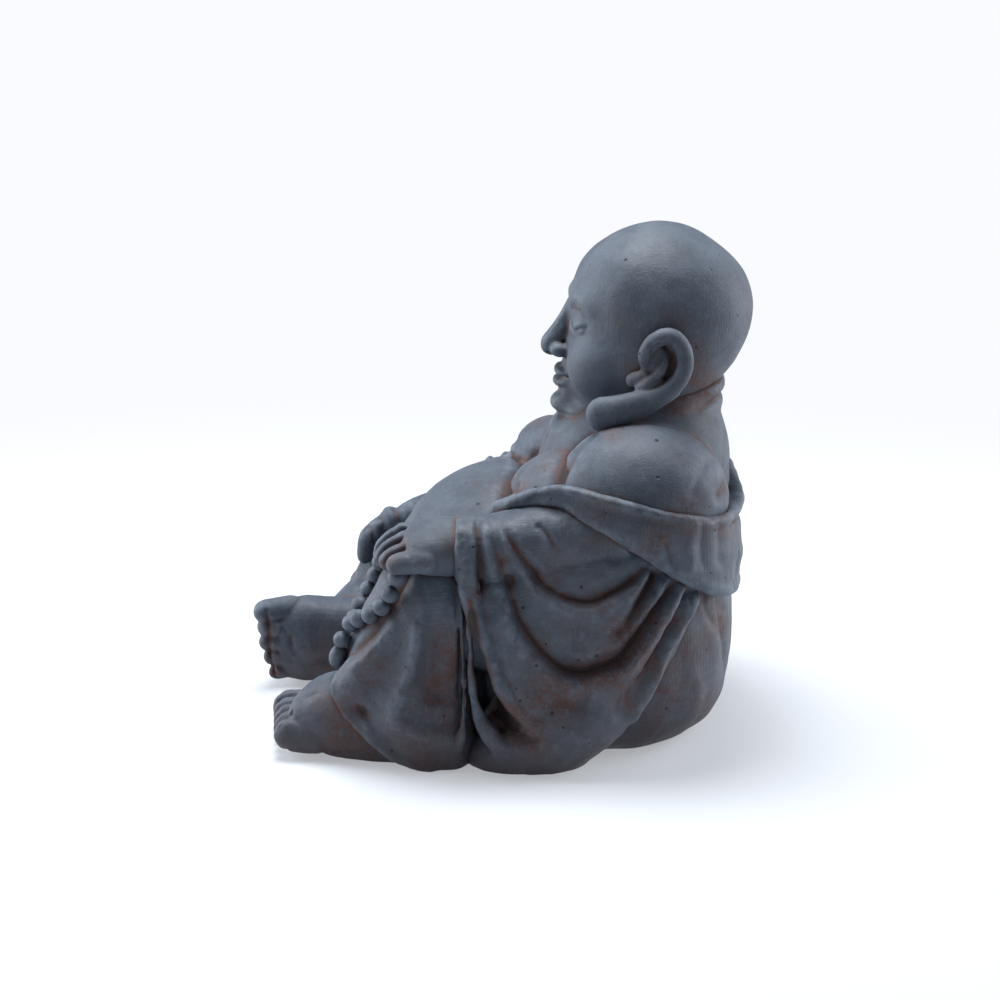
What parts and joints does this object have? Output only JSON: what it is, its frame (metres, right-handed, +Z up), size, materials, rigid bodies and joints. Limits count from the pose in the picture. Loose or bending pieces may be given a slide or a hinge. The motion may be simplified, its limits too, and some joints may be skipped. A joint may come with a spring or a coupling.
{
  "type": "sitting buddha statue",
  "caption": "Garden or altar statue of a stout seated monk with a bare belly, a slipped robe, long-lobed ears and prayer beads in the hand on its raised knee.",
  "frame": {"origin": "middle of the overall footprint, on the ground", "axes": "+Z up; the figure faces -Y, so its left hand, left foot and prayer beads are on the +X side"},
  "size_m": [0.2398, 0.2996, 0.2998],
  "materials": {
    "painted_stone": "matt slate-grey paint over a rust-red base coat that shows in the creases and on worn edges"
  },
  "bodies": {
    "root": {"neck": "painted_stone", "torso": "painted_stone", "head": "painted_stone", "seat_robe": "painted_stone", "lap_robe": "painted_stone", "left_arm": "painted_stone", "right_arm": "painted_stone", "left_leg_robe": "painted_stone", "left_leg": "painted_stone", "right_leg": "painted_stone", "left_sleeve": "painted_stone", "right_sleeve": "painted_stone", "left_foot": "painted_stone", "right_foot": "painted_stone", "right_ankle_hem": "painted_stone", "left_hand": "painted_stone", "right_hand": "painted_stone", "left_sleeve_hem": "painted_stone", "right_sleeve_hem": "painted_stone", "left_ear": "painted_stone", "right_ear": "painted_stone", "collar_band": "painted_stone", "bead_01": "painted_stone", "bead_02": "painted_stone", "bead_03": "painted_stone", "bead_04": "painted_stone", "bead_05": "painted_stone", "bead_06": "painted_stone", "bead_07": "painted_stone", "bead_08": "painted_stone", "bead_09": "painted_stone", "bead_10": "painted_stone", "bead_11": "painted_stone", "bead_12": "painted_stone", "bead_13": "painted_stone"}
  },
  "joints": []
}
